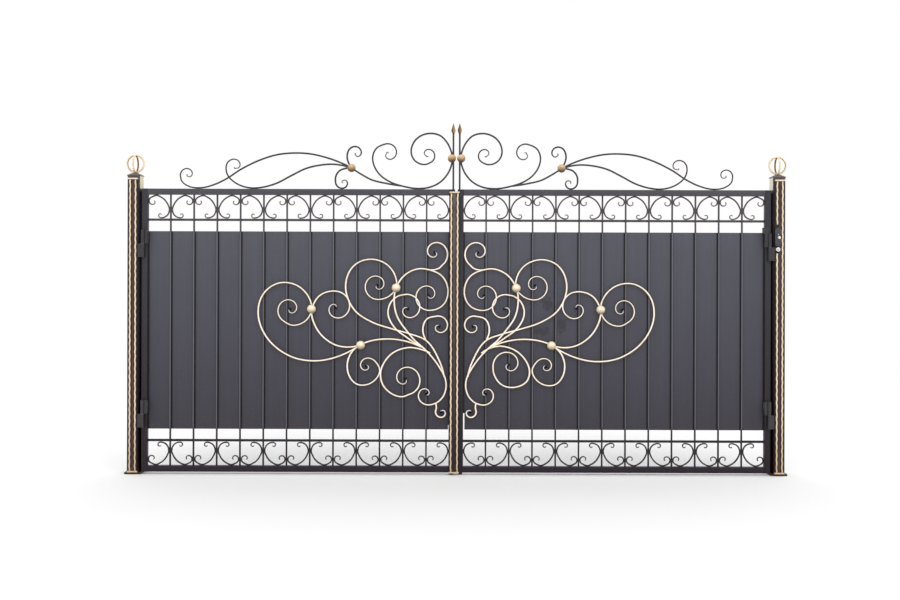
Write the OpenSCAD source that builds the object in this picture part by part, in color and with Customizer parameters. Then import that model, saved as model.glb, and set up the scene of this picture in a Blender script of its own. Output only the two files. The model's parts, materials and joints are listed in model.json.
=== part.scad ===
// Double leaf wrought iron driveway gate with its two posts.
// Millimetres. +X runs along the gate, the decorated side faces -Y, +Z is up.
// The origin is the middle of the left post's base, on the ground.
// Leaf parts are drawn from the meeting line outwards and mirrored for the left leaf.

/* [Posts] */
// Distance between the middles of the two posts
post_spacing = 4070; // [3400:10:4600]
// Width and depth of the square post tube
post_size = 80; // [70:1:100]
// Wall of the post tube
post_wall = 3; // [2:0.5:5]
// Top of the post tube above the ground
post_top = 1880; // [1800:5:2000]
// Width of the base plate under each post
base_size = 104; // [100:1:140]
// Thickness of the base plate
base_t = 12; // [8:1:20]
// Width of the cap plate
cap_size = 84; // [80:1:110]
// Thickness of the cap plate
cap_t = 6; // [4:1:12]
// Width of the low pyramid on the cap plate, at its foot
cap_pyramid = 80; // [60:1:80]
// Height of the low pyramid
cap_pyramid_h = 14; // [8:1:30]
// Width of the flat top that carries the finial
cap_flat = 30; // [20:1:40]

/* [Finials] */
// Outer diameter of the globe of bent rings
finial_d = 118; // [80:1:150]
// Thickness of the round bar of the rings
finial_bar = 10; // [6:0.5:14]

/* [Pilasters] */
// Bare width of the post to each side of its dark backing strip
pilaster_margin = 9; // [9:0.5:18]
// Depth of the dark backing strip on a post
pilaster_t = 14; // [8:1:20]
// Wall of the folded channel that makes a backing strip
channel_wall = 2; // [1.5:0.5:3]
// Width of a gold wavy strip
wave_w = 10; // [8:0.5:13]
// Thickness of a gold wavy strip
wave_t = 6; // [4:0.5:10]
// Distance of each wavy strip from the middle of the post
wave_x = 17; // [16.5:0.5:18]
// How far the wavy strip swings to each side
wave_swing = 1.8; // [0.6:0.2:2.4]
// Length of one wave
wave_length = 51; // [30:1:80]
// Width of the gold collars at the ends of a pilaster
collar_w = 65; // [63:1:70]
// Height of the gold collars
collar_h = 11; // [8:1:24]
// How far the collars stand out past the wavy strips
collar_proud = 2; // [1:0.5:6]
// Distance from the top of the post down to the top collar
collar_drop = 14; // [0:1:30]

/* [Leaf frame] */
// Gap between a post and the hinge stile of its leaf
hinge_gap = 10; // [8:1:20]
// Gap between the two leaves where they meet
meeting_gap = 16; // [8:1:20]
// Underside of the leaves above the ground
leaf_bottom = 14; // [13:1:60]
// Top of the leaves above the ground
leaf_top = 1800; // [1700:5:1860]
// Width and depth of the square frame tube
tube_size = 38; // [32:1:45]
// Wall of the frame tube
tube_wall = 2; // [1.5:0.5:3]
// Number of upright bars in a leaf
bar_count = 12; // [8:1:16]
// Size of the square upright bars
bar_size = 10; // [8:0.5:14]
// Width of the foot under each meeting stile
stile_foot = 28; // [20:1:28]
// Height of the foot under each meeting stile
stile_foot_h = 10; // [4:1:12]
// Height of the thin cross rails
thin_rail_h = 15; // [10:1:20]
// Depth of the thin cross rails
thin_rail_t = 8; // [6:1:12]
// Clear height of the two bands of scrolls
band_h = 150; // [140:1:165]
// Clear height between a thin rail and the sheet
sheet_slot = 65; // [40:1:90]
// Thickness of the steel sheet
sheet_t = 2; // [1.5:0.5:3]
// Slit between the right leaf's sheet and its meeting stile
right_sheet_gap = 8; // [1:0.5:20]
// Slit between the left leaf's sheet and its meeting stile
left_sheet_gap = 3; // [1:0.5:20]

/* [Scrolls] */
// Thickness of the scroll bar in the two bands
band_bar = 8; // [6:0.5:10]
// Width of the gold ornament, from the meeting stile to its farthest bend
ornament_w = 1202; // [1140:2:1260]
// Height of the low dome, where the gold scrolls gather, above the ground
ornament_z = 816; // [780:2:850]
// Width of the gold ornament bar
ornament_bar = 14; // [10:0.5:14]
// Width of the gold ornament bar at the tips of its curls
ornament_tip = 7; // [5:0.5:10]
// Depth of the gold ornament bar
ornament_t = 12; // [8:0.5:12]
// Width of the crest, from the meeting line to its farthest bend
crest_w = 1732; // [1640:2:1770]
// Thickness of the crest bar
crest_bar = 10; // [8:0.5:12]
// Thickness of the crest bar at the tips of its curls
crest_tip = 6; // [4:0.5:8]
// Diameter of the domes on the gold ornament
dome_d = 56; // [44:1:64]
// Wall of the pressed domes
dome_wall = 2; // [1.5:0.5:3]
// Diameter of the balls in the crest
crest_ball_d = 53; // [46:1:60]
// Gap between the two balls at the meeting line
ball_gap = 6; // [6:0.5:12]
// Seating gap that a weld fills
weld_gap = 0.2; // [0.1:0.05:0.4]

/* [Spears] */
// Distance of each spear from the meeting line
spear_x = 20; // [19:0.5:30]
// Thickness of the square stem of a spear
spear_bar = 10.5; // [8:0.5:13]
// Top of the spear tips above the top of the leaf
spear_rise = 420; // [340:5:480]
// Length of a spearhead
spear_head_h = 65; // [40:1:80]
// Width of a spearhead
spear_head_w = 26.5; // [18:0.5:30]
// Depth of a spearhead at its ridge
spear_head_t = 13; // [10:0.5:20]

/* [Cover strip] */
// Distance from the meeting line to the middle of the cover strip
cover_x = 12; // [10:1:16]
// Width of the dark backing of the cover strip
cover_w = 62; // [54:1:66]
// Distance of each wavy strip from the middle of the cover strip
cover_wave_x = 20; // [14:0.5:20]
// Clearance between the cover strip and the leaf that it laps
cover_clear = 5; // [5:0.5:8]
// Depth of the dark backing strip of the cover
cover_t = 8; // [6:1:14]
// Distance from the top of the leaf down to the top of the cover strip
cover_drop = 15; // [5:1:40]
// How far the cover strip hangs below the leaf
cover_hang = 3; // [0:1:9]

/* [Hinges] */
// Outer diameter of the hinge barrels
barrel_d = 24; // [20:1:24]
// Height of a whole hinge
barrel_h = 172; // [140:1:200]
// Diameter of the hinge pins
pin_d = 14; // [10:0.5:16]
// Gap round a pin in its bore
pin_clear = 0.05; // [0.02:0.01:0.1]
// Gap between the two halves of a hinge
half_gap = 1; // [0.5:0.5:3]
// Distance from the front of the leaf to the hinge axis
hinge_out = 17; // [17:0.5:20]
// Distance from the outer side of the leaf in to the hinge axis
hinge_inset = 13; // [12:0.5:20]
// Height of the underside of the lower hinges
hinge_low_z = 296; // [200:5:500]
// Height of the underside of the left upper hinge
left_hinge_high_z = 1367; // [1200:5:1500]
// Height of the underside of the right upper hinge
right_hinge_high_z = 1354; // [1200:5:1500]
// Reach of the block between a barrel and its stile, from the hinge axis towards the post
spacer_out = 8; // [4:0.5:12]
// Reach of the same block from the hinge axis towards the meeting line
spacer_in = 30; // [12:0.5:34]
// Width of the square stop on the right upper hinge
stop_w = 37; // [30:1:40]
// Height of the square stop
stop_h = 37; // [20:1:50]
// Reach of the square stop from the hinge axis towards the meeting line
stop_in = 44; // [38:1:50]
// Thickness of the straps from the hinges to the posts
strap_t = 6; // [4:0.5:7]
// Width of the bolted bracket plate at the right upper hinge
bracket_w = 36; // [30:1:36]
// Length of the bolted bracket plate
bracket_h = 116; // [100:1:130]
// Thickness of the bolted bracket plate
bracket_t = 6; // [4:0.5:8]
// Distance from the inner side of the right post to the middle of the bracket
bracket_inset = 28; // [26:1:28]
// Height of the bracket plate above the split of the upper hinge
bracket_rise = 8; // [4:0.5:20]
// Diameter of the round boss below the bracket plate
boss_d = 27; // [20:1:30]
// Distance from the split of the hinge down to the middle of the boss
boss_drop = 13; // [12:0.5:20]
// How far the boss stands out past the bracket plate
boss_proud = 2; // [1:0.5:4]
// Height of the strap from the boss to the hinge
boss_strap_h = 15; // [8:1:20]
// Bare stretch of the gold strip below the bracket plate
bare_below = 45; // [36:1:60]
// Bare stretch of the gold strip above the bracket plate
bare_above = 23; // [10:1:60]

/* [Hidden] */
// Steps between two knots of a scroll's stem
stem_steps = 3;
// Degrees between two points of a scroll's eye
eye_step = 20;
// Degrees between two points of a small eye in the bands
band_eye_step = 30;
// Points in one wave of the wavy strips
wave_points = 4;
// Thickness of the plate that closes a meeting stile's foot, inside the tube
plug_t = 3;
// Distance from the side of the post to the plate that holds a hinge strap
strap_inset = 1;

meet_x = post_spacing / 2;
post_face_m = meet_x - post_size / 2;
leaf_start = meeting_gap / 2;
leaf_end = post_face_m - hinge_gap;
front_y = -post_size / 2;
frame_mid_y = front_y + tube_size / 2;
bar_back_y = frame_mid_y + bar_size / 2;
bar_front_y = bar_back_y - bar_size;
ornament_front_y = bar_front_y - ornament_t;

rail_low_top = leaf_bottom + tube_size;
rail_high_under = leaf_top - tube_size;
inner_start = leaf_start + tube_size;
inner_end = leaf_end - tube_size;
bay_w = (inner_end - inner_start - bar_count * bar_size) / (bar_count + 1);
bay_pitch = bay_w + bar_size;
thin_low_z = rail_low_top + band_h;
thin_high_z = rail_high_under - band_h - thin_rail_h;
sheet_low = thin_low_z + thin_rail_h + sheet_slot;
sheet_high = thin_high_z - sheet_slot;

cap_top = post_top + cap_t + cap_pyramid_h;
pilaster_w = post_size - 2 * pilaster_margin;
pilaster_low = base_t + collar_h;
pilaster_high = post_top - collar_drop - collar_h;
collar_t = pilaster_t + wave_t + collar_proud;

cover_low = leaf_bottom - cover_hang;
cover_high = leaf_top - cover_drop;
cover_back_y = front_y - cover_clear;
cover_collar_t = cover_t + wave_t + collar_proud;

hinge_m = leaf_end - hinge_inset;
hinge_y = front_y - hinge_out;
half_h = (barrel_h - half_gap) / 2;
left_hinge_z = [hinge_low_z, left_hinge_high_z];
right_hinge_z = [hinge_low_z, right_hinge_high_z];
strap_end = post_face_m + strap_inset + strap_t;
pin_top_gap = 12;
bore_top_gap = 10;

// The gold ornament's outermost scroll, from the low dome round through the far dome
great_sweep = [[559, 0], [713, -78], [854, -101], [1000, -72], [1139, 34], [1202, 184],
    [1175, 314], [1080, 387], [971, 380], [891, 313], [866, 227], [901, 154], [982, 123]];
great_eye = [[1002, 224], 84, 8, 300, 380, 1.2];
ornament_scale = ornament_w / max([for (p = great_sweep) p[0]]);
ornament_domes = [for (p = [[866, 227], [556, 0], [333, 362]]) ornament_scale * p];

// Crest heights are measured from the middle line of a bar that lies on the top rail
long_sweep = [[664, 129], [740, 165], [830, 196], [932, 218], [1034, 222], [1135, 211],
    [1246, 176], [1367, 116], [1450, 61], [1530, 22], [1610, 1], [1683, 9], [1726, 40]];
long_eye = [[1688, 72], 44, 8, -15, 265, 2];
crest_scale = crest_w / (long_eye[0][0] + long_eye[1]);
crest_foot = leaf_top + crest_bar / 2 + weld_gap;
ball_r = crest_ball_d / 2;
middle_ball = crest_scale * [664, 129];
meeting_ball = [ball_gap / 2 + ball_r, crest_scale * 191];

bracket_x = bracket_inset - post_size / 2;
hinge_split_z = right_hinge_high_z + half_h;
bracket_z = hinge_split_z + bracket_rise + bracket_h / 2;
boss_z = hinge_split_z - boss_drop;
boss_strap_start = strap_end - meet_x + weld_gap;
bare_stretch = [bracket_z - bracket_h / 2 - bare_below, bracket_z + bracket_h / 2 + bare_above];

graphite = [0.22, 0.21, 0.24];
dark_iron = [0.16, 0.13, 0.15];
pale_gold = [0.80, 0.69, 0.47];
dull_gold = [0.64, 0.50, 0.28];
cream_gold = [0.85, 0.76, 0.58];

// A straight line between two points, as a direction of length one
function unit(v) = v / norm(v);
function chord(p, i) = unit(p[i + 1] - p[i]);
function mirror_over(v, c) = 2 * (v * c) * c - v;

function bisector(p, i) = unit(chord(p, i - 1) + chord(p, i));

// Direction of the bar at knot i, with the last one given, or undef for a free end
function lead(p, i, last) =
    let (n = len(p) - 1)
    i == 0 ? mirror_over(lead(p, 1, last), chord(p, 0))
    : i < n ? bisector(p, i)
    : is_undef(last) ? mirror_over(bisector(p, n - 1), chord(p, n - 1))
    : last;

function hermite(a, b, from, to, t) =
    let (reach = norm(b - a))
    (2 * pow(t, 3) - 3 * pow(t, 2) + 1) * a
    + (pow(t, 3) - 2 * pow(t, 2) + t) * reach * from
    + (3 * pow(t, 2) - 2 * pow(t, 3)) * b
    + (pow(t, 3) - pow(t, 2)) * reach * to;

// The stem runs smoothly through its knots. Its last point is left to the caller.
function stem(p, last) = [
    for (i = [0 : len(p) - 2])
        for (k = [0 : stem_steps - 1])
            hermite(p[i], p[i + 1], lead(p, i, last), lead(p, i + 1, last), k / stem_steps)
];

// An eye is [middle, first radius, last radius, first angle, turn, how late it tightens]
function eye_point(e, t) =
    let (r = e[1] + (e[2] - e[1]) * pow(t, e[5]), a = e[3] + e[4] * t)
    e[0] + r * [cos(a), sin(a)];
function eye_line(e, step) =
    let (n = ceil(abs(e[4]) / step))
    [for (k = [0 : n]) eye_point(e, k / n)];
function eye_lead(e) = unit(eye_point(e, 0.02) - eye_point(e, 0));

function scroll_line(knots, e, step) =
    concat(stem(concat(knots, [eye_point(e, 0)]), eye_lead(e)), eye_line(e, step));
function stem_line(knots) = concat(stem(knots, undef), [knots[len(knots) - 1]]);
function backwards(p) = [for (i = [len(p) - 1 : -1 : 0]) p[i]];

function side(p, i) =
    let (d = unit(p[min(i + 1, len(p) - 1)] - p[max(i - 1, 0)]))
    [-d[1], d[0]];

// A bent bar seen from the front, w wide along its middle line and drawn out to its tip's width
function half_width(i, n, w, tip) = (w - (w - tip) * pow(i / n, 3)) / 2;

module bar_along(p, w, tip) {
    n = len(p) - 1;
    polygon(concat(
        [for (i = [0 : n]) p[i] + half_width(i, n, w, tip) * side(p, i)],
        [for (i = [n : -1 : 0]) p[i] - half_width(i, n, w, tip) * side(p, i)]
    ));
}

function sized_eye(e, k) = [k * e[0], k * e[1], k * e[2], e[3], e[4], e[5]];

// Stands a flat drawing upright, from y = back forwards by depth
module upright(back, depth) {
    translate([0, back, 0]) rotate([90, 0, 0]) linear_extrude(depth) children();
}

module right_side() { translate([meet_x, 0, 0]) children(); }
module left_side() { translate([meet_x, 0, 0]) mirror([1, 0, 0]) children(); }

module tube_box(size, wall, along) {
    inner = [for (i = [0 : 2]) i == along ? size[i] + 2 : size[i] - 2 * wall];
    shift = [for (i = [0 : 2]) i == along ? -1 : wall];
    difference() {
        cube(size);
        translate(shift) cube(inner);
    }
}

// Posts

module post() {
    color(graphite)
        translate([-post_size / 2, -post_size / 2, base_t])
            tube_box([post_size, post_size, post_top - base_t], post_wall, 2);
}

module post_base() {
    color(dark_iron)
        translate([-base_size / 2, -base_size / 2, 0]) cube([base_size, base_size, base_t]);
}

module post_cap() {
    color(graphite) {
        translate([-cap_size / 2, -cap_size / 2, post_top]) cube([cap_size, cap_size, cap_t]);
        translate([0, 0, post_top + cap_t])
            linear_extrude(cap_pyramid_h, scale = cap_flat / cap_pyramid) square(cap_pyramid, center = true);
    }
}

module finial_ring() {
    rotate([90, 0, 0])
        rotate_extrude($fn = 96)
            translate([(finial_d - finial_bar) / 2, 0]) circle(d = finial_bar, $fn = 32);
}

module post_finial() {
    color(cream_gold)
        translate([0, 0, cap_top + finial_d / 2]) {
            finial_ring();
            rotate([0, 0, 90]) finial_ring();
        }
}

// A folded channel, open at its back
module backing_strip(width, back, depth, low, high) {
    translate([-width / 2, back - depth, low])
        difference() {
            cube([width, depth, high - low]);
            translate([channel_wall, channel_wall, -1])
                cube([width - 2 * channel_wall, depth, high - low + 2]);
        }
}

function wave_line(low, high) =
    let (n = round((high - low) / wave_length * wave_points))
    [for (k = [0 : n])
        let (z = low + (high - low) * k / n)
        [wave_swing * sin(360 * (z - low) / wave_length + 45), z]];

module wavy_strip(back, low, high) {
    upright(back, wave_t) bar_along(wave_line(low, high), wave_w, wave_w);
}

module collar(back, depth, low) {
    translate([-collar_w / 2, back - depth, low]) cube([collar_w, depth, collar_h]);
}

module post_pilaster() {
    color(dark_iron) backing_strip(pilaster_w, front_y, pilaster_t, pilaster_low, pilaster_high);
}

// The inner strip is left out over a bare stretch, where one is given
module post_gold_trim(gap) {
    strip_back = front_y - pilaster_t;
    color(pale_gold) {
        collar(front_y, collar_t, base_t);
        collar(front_y, collar_t, pilaster_high);
        translate([wave_x, 0, 0]) wavy_strip(strip_back, pilaster_low, pilaster_high);
        translate([-wave_x, 0, 0]) {
            wavy_strip(strip_back, pilaster_low, is_undef(gap) ? pilaster_high : gap[0]);
            if (!is_undef(gap)) wavy_strip(strip_back, gap[1], pilaster_high);
        }
    }
}

// Hinges, drawn for the right leaf. The lower half of each barrel is fixed to the post.

module post_hinges(heights) {
    color(dark_iron)
        for (z = heights)
            translate([0, hinge_y, z]) {
                translate([hinge_m, 0, 0]) cylinder(d = barrel_d, h = half_h, $fn = 64);
                translate([hinge_m, 0, 0]) cylinder(d = pin_d, h = barrel_h - pin_top_gap, $fn = 48);
                translate([hinge_m, -strap_t / 2, 0]) cube([strap_end - hinge_m, strap_t, half_h]);
                translate([strap_end - strap_t, -strap_t / 2, 0])
                    cube([strap_t, hinge_out + strap_t / 2, half_h]);
            }
}

module leaf_hinges(heights) {
    color(dark_iron) {
        for (z = heights)
            translate([hinge_m, hinge_y, z])
                difference() {
                    translate([0, 0, barrel_h - half_h]) {
                        cylinder(d = barrel_d, h = half_h, $fn = 64);
                        translate([-spacer_in, 0, 0]) cube([spacer_in + spacer_out, hinge_out, half_h]);
                    }
                    cylinder(d = pin_d + 2 * pin_clear, h = barrel_h - bore_top_gap, $fn = 48);
                }
        children();
    }
}

// A square stop on the moving half of the right upper hinge
module hinge_stop() {
    translate([hinge_m - stop_in, hinge_y, right_hinge_high_z + barrel_h])
        cube([stop_w, hinge_out, stop_h]);
}

// An oval plate, and below it a round boss with a strap to the fixed half of the hinge
module hinge_bracket() {
    straight = bracket_h - bracket_w;
    back = front_y - pilaster_t - weld_gap;
    color(graphite) {
        translate([bracket_x, 0, bracket_z])
            upright(back, bracket_t) {
                for (s = [-1, 1]) translate([0, s * straight / 2]) circle(d = bracket_w, $fn = 48);
                square([bracket_w, straight], center = true);
            }
        translate([0, 0, boss_z]) {
            translate([boss_strap_start, back - bracket_t, -boss_strap_h / 2])
                cube([bracket_x - boss_strap_start, bracket_t, boss_strap_h]);
            translate([bracket_x, 0, 0])
                upright(back, bracket_t + boss_proud) circle(d = boss_d, $fn = 48);
        }
    }
}

// Leaf frame, drawn for the right leaf

module stile(m) {
    translate([m, front_y, leaf_bottom])
        tube_box([tube_size, tube_size, leaf_top - leaf_bottom], tube_wall, 2);
}

module meeting_stile() {
    inside = tube_size - 2 * tube_wall;
    color(graphite) {
        stile(leaf_start);
        translate([leaf_start + tube_wall, front_y + tube_wall, leaf_bottom])
            cube([inside, inside, plug_t]);
        translate([leaf_start + (tube_size - stile_foot) / 2, front_y + (tube_size - stile_foot) / 2, 0])
            translate([0, 0, leaf_bottom - stile_foot_h]) cube([stile_foot, stile_foot, stile_foot_h]);
    }
}

module hinge_stile() { color(graphite) stile(inner_end); }

module rail(z) {
    translate([inner_start, front_y, z])
        tube_box([inner_end - inner_start, tube_size, tube_size], tube_wall, 0);
}

module top_rail() { color(graphite) rail(rail_high_under); }
module bottom_rail() { color(graphite) rail(leaf_bottom); }

module thin_rails() {
    color(graphite)
        for (z = [thin_low_z, thin_high_z])
            translate([inner_start, bar_back_y, z])
                cube([inner_end - inner_start, thin_rail_t, thin_rail_h]);
}

module bars() {
    color(graphite)
        for (j = [1 : bar_count])
            translate([inner_start + j * bay_pitch - bar_size, bar_front_y, rail_low_top])
                cube([bar_size, bar_size, rail_high_under - rail_low_top]);
}

module sheet(gap) {
    color(graphite)
        translate([inner_start + gap, bar_back_y, sheet_low])
            cube([inner_end - inner_start - gap, sheet_t, sheet_high - sheet_low]);
}

// Band scrolls. Each bay holds one C, back against one bar, with a large and a small curl.

function band_scroll_line() =
    let (
        edge = band_bar / 2 + weld_gap,
        big_eye = [[bay_w - edge - 23.5, 44], 23.5, 7, -60, 260, 2],
        small_eye = [[57, band_h - edge - 16.5], 16.5, 9, 110, -200, 1],
        back = [[20, 0.88 * band_h], [edge, 0.62 * band_h], [21, 0.31 * band_h],
            [45, 0.12 * band_h], [80, edge]],
        small_curl = backwards(eye_line(small_eye, band_eye_step))
    )
    concat(
        [for (i = [0 : len(small_curl) - 2]) small_curl[i]],
        stem(concat([eye_point(small_eye, 0)], back, [eye_point(big_eye, 0)]), eye_lead(big_eye)),
        eye_line(big_eye, band_eye_step)
    );

module band_scrolls() {
    line = band_scroll_line();
    for (b = [0 : bar_count]) {
        start = inner_start + b * bay_pitch;
        translate([b % 2 == 0 ? start : start + bay_w, 0])
            mirror([b % 2, 0]) bar_along(line, band_bar, band_bar);
    }
}

module bottom_scrolls() {
    color(dark_iron)
        upright(bar_back_y, bar_size) translate([0, rail_low_top]) band_scrolls();
}

module top_scrolls() {
    color(dark_iron)
        upright(bar_back_y, bar_size) translate([0, rail_high_under]) mirror([0, 1]) band_scrolls();
}

// Gold ornament. Points are measured from the inner side of the meeting stile and from the low dome.

module gold_scroll(knots, e) {
    line = scroll_line(ornament_scale * knots, sized_eye(e, ornament_scale), eye_step);
    bar_along(line, ornament_bar, ornament_tip);
}

module ornament_lines() {
    gold_scroll(great_sweep, great_eye);
    // from the low dome up through the far dome and back into its own eye
    gold_scroll([[559, 0], [689, -8], [792, 50], [854, 146], [866, 227], [837, 284], [783, 329]],
        [[711, 236], 103, 8, 77, 395, 1.3]);
    // the tall inner sweep, over the top and down through the high dome
    gold_scroll([[29, -196], [60, -96], [139, 26], [249, 72], [350, 100], [488, 146], [594, 219],
        [650, 344], [634, 451], [579, 516], [488, 541], [396, 511], [341, 442], [333, 362],
        [377, 309]],
        [[452, 376], 90, 8, 256, 430, 1.2]);
    // from the bundle up through the high dome and back towards the meeting line
    gold_scroll([[176, -11], [258, 81], [325, 179], [345, 274], [333, 362], [278, 442],
        [195, 481], [109, 474], [42, 414], [12, 334], [30, 269], [75, 229]],
        [[153, 309], 92, 8, 258, 380, 1.7]);
    // the middle curl of the bundle
    gold_scroll([[176, -11], [258, 44], [341, 109], [383, 194], [368, 266], [322, 308]],
        [[260, 229], 92, 8, 75, 340, 1.4]);
    // the top curl
    gold_scroll([[130, 476], [66, 484]], [[90, 584], 92, 8, -122, -420, 1]);
    // the small curl beside the meeting line
    gold_scroll([[148, 40], [163, 109], [139, 164]], [[62, 119], 66, 8, 74, 340, 1.3]);
    // from the bundle to the low dome and round below it
    gold_scroll([[176, -11], [258, 21], [350, 37], [441, 35], [505, 22], [559, 0], [616, -51],
        [640, -126], [624, -201], [581, -246], [515, -250], [456, -211], [435, -159]],
        [[519, -134], 66, 9, -200, -360, 0.8]);
    // the stem that drops into the foot curl
    gold_scroll([[212, 26], [121, -57], [57, -141], [20, -215], [18, -279], [43, -335]],
        [[141, -308], 80, 8, 230, 360, 0.8]);
    // the hook under the foot curl
    gold_scroll([[80, -372]], [[47, -421], 38, 10, 20, -260, 2.2]);
}

// The low curl is the one place where the two leaves differ
module left_low_curl() {
    gold_scroll([[121, -48], [189, -23], [258, -16], [350, -48], [409, -113], [430, -178],
        [414, -252], [359, -307], [295, -326]],
        [[273, -216], 98, 8, -105, -390, 1.6]);
}

module right_low_curl() {
    gold_scroll([[117, -48], [173, -16], [247, -6], [339, -39], [404, -113], [418, -177],
        [395, -233], [321, -265], [247, -251], [200, -196]],
        [[286, -123], 99, 8, -172, -380, 1.1]);
}

module ornament() {
    color(pale_gold)
        upright(bar_front_y, ornament_t)
            translate([inner_start, ornament_z]) {
                ornament_lines();
                children();
            }
}

module ornament_dome_set() {
    color(pale_gold)
        for (p = ornament_domes)
            translate([inner_start + p[0], ornament_front_y, ornament_z + p[1]])
                difference() {
                    sphere(d = dome_d, $fn = 64);
                    sphere(d = dome_d - 2 * dome_wall, $fn = 64);
                    translate([-dome_d, 0, -dome_d]) cube(2 * dome_d);
                }
}

// Crest above the top rail. Points are measured from the meeting line and from the crest's foot.

module crest_scroll(knots, e) {
    line = scroll_line(crest_scale * knots, sized_eye(e, crest_scale), eye_step);
    bar_along(line, crest_bar, crest_tip);
}

module crest_stem(knots) { bar_along(stem_line(crest_scale * knots), crest_bar, crest_bar); }

module crest_lines() {
    // the high loop at the meeting line
    crest_scroll([[28, 210], [33, 232], [61, 292], [106, 336], [178, 348], [241, 324],
        [278, 278], [286, 220], [260, 173], [207, 152]],
        [[184, 207], 46, 8, -120, -235, 4]);
    // the loop that lies on the rail
    crest_scroll([[29, 173], [34, 143], [57, 92], [103, 41], [168, 9], [250, 0], [341, 15],
        [419, 41], [483, 85], [521, 143], [530, 201], [508, 252]],
        [[435, 223], 60, 8, 70, 270, 2.5]);
    // the link to the middle ball
    crest_stem([[353, 17], [456, 34], [533, 53], [585, 79], [664, 129]]);
    // the curls above and below the middle ball
    crest_scroll([[668, 135], [686, 170], [692, 200]], [[636, 217], 52, 8, 25, 250, 1.6]);
    crest_scroll([[672, 129], [700, 126], [738, 112], [762, 79]], [[716, 40], 49, 10, 0, -260, 1.3]);
    // the long outer sweep
    crest_scroll(long_sweep, long_eye);
    // the inner sweep, which dips to the rail
    crest_scroll([[664, 129], [765, 151], [849, 148], [951, 125], [1043, 80], [1135, 32],
        [1228, 5], [1311, 2], [1385, 28], [1437, 78]],
        [[1392, 128], 54, 8, 5, 205, 2.5]);
}

module ball_space(p) {
    translate([p[0], frame_mid_y, crest_foot + p[1]]) sphere(r = ball_r + weld_gap, $fn = 64);
}

module crest() {
    color(dark_iron)
        difference() {
            upright(frame_mid_y + crest_bar / 2, crest_bar) translate([0, crest_foot]) crest_lines();
            ball_space(meeting_ball);
            ball_space(middle_ball);
            spear_stem_space();
        }
}

// Room for the spear's stem, which starts on the rail
module spear_stem_space() {
    s = spear_bar + 2 * weld_gap;
    translate([spear_x - s / 2, frame_mid_y - s / 2, leaf_top]) cube([s, s, spear_rise]);
}

module crest_balls() {
    color(dull_gold)
        for (p = [meeting_ball, middle_ball])
            difference() {
                translate([p[0], frame_mid_y, crest_foot + p[1]]) sphere(d = crest_ball_d, $fn = 64);
                spear_stem_space();
            }
}

// A flat leaf-shaped head with a ridge down its front and back
module spear_head() {
    // height and width of the head at each level, as shares of its length and width
    levels = [[0, 0.3], [0.18, 0.8], [0.37, 1], [0.6, 0.78], [0.82, 0.4], [0.99, 0.04]];
    hull()
        for (v = levels) {
            w = v[1] * spear_head_w / 2;
            t = v[1] * spear_head_t / 2;
            translate([0, 0, v[0] * spear_head_h])
                linear_extrude(0.01 * spear_head_h) polygon([[w, 0], [0, t], [-w, 0], [0, -t]]);
        }
}

module spear() {
    foot = leaf_top + spear_rise - spear_head_h;
    color(dull_gold)
        translate([spear_x, frame_mid_y, 0]) {
            translate([-spear_bar / 2, -spear_bar / 2, leaf_top])
                cube([spear_bar, spear_bar, foot + spear_bar / 2 - leaf_top]);
            translate([0, 0, foot]) spear_head();
        }
}

// Cover strip on the left leaf, over the gap where the leaves meet

module cover_strip() {
    color(dark_iron)
        translate([cover_x, 0, 0]) {
            backing_strip(cover_w, cover_back_y, cover_t, cover_low + collar_h, cover_high - collar_h);
            pad_start = leaf_start - cover_x + 2;
            translate([pad_start, cover_back_y, leaf_bottom + collar_h])
                cube([cover_w / 2 - pad_start, cover_clear, leaf_top - leaf_bottom - 3 * collar_h]);
        }
}

module cover_trim() {
    color(pale_gold)
        translate([cover_x, 0, 0]) {
            collar(cover_back_y, cover_collar_t, cover_low);
            collar(cover_back_y, cover_collar_t, cover_high - collar_h);
            for (s = [-1, 1])
                translate([s * cover_wave_x, 0, 0])
                    wavy_strip(cover_back_y - cover_t, cover_low + collar_h, cover_high - collar_h);
        }
}

module at_right_post() { translate([post_spacing, 0, 0]) children(); }

post();  // left_post
post_base();  // left_post_base
post_cap();  // left_post_cap
post_finial();  // left_post_finial
post_pilaster();  // left_post_pilaster
post_gold_trim();  // left_post_gold_trim
left_side() post_hinges(left_hinge_z);  // left_post_hinges
at_right_post() post();  // right_post
at_right_post() post_base();  // right_post_base
at_right_post() post_cap();  // right_post_cap
at_right_post() post_finial();  // right_post_finial
at_right_post() post_pilaster();  // right_post_pilaster
at_right_post() post_gold_trim(bare_stretch);  // right_post_gold_trim
right_side() post_hinges(right_hinge_z);  // right_post_hinges
at_right_post() hinge_bracket();  // right_hinge_bracket
left_side() hinge_stile();  // left_leaf_hinge_stile
left_side() meeting_stile();  // left_leaf_meeting_stile
left_side() top_rail();  // left_leaf_top_rail
left_side() bottom_rail();  // left_leaf_bottom_rail
left_side() thin_rails();  // left_leaf_thin_rails
left_side() bars();  // left_leaf_bars
left_side() sheet(left_sheet_gap);  // left_leaf_sheet
left_side() top_scrolls();  // left_leaf_top_scrolls
left_side() bottom_scrolls();  // left_leaf_bottom_scrolls
left_side() ornament() left_low_curl();  // left_leaf_ornament
left_side() ornament_dome_set();  // left_leaf_ornament_domes
left_side() crest();  // left_leaf_crest
left_side() crest_balls();  // left_leaf_crest_balls
left_side() spear();  // left_leaf_spear
left_side() leaf_hinges(left_hinge_z);  // left_leaf_hinges
left_side() cover_strip();  // left_leaf_cover_strip
left_side() cover_trim();  // left_leaf_cover_trim
right_side() hinge_stile();  // right_leaf_hinge_stile
right_side() meeting_stile();  // right_leaf_meeting_stile
right_side() top_rail();  // right_leaf_top_rail
right_side() bottom_rail();  // right_leaf_bottom_rail
right_side() thin_rails();  // right_leaf_thin_rails
right_side() bars();  // right_leaf_bars
right_side() sheet(right_sheet_gap);  // right_leaf_sheet
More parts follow.
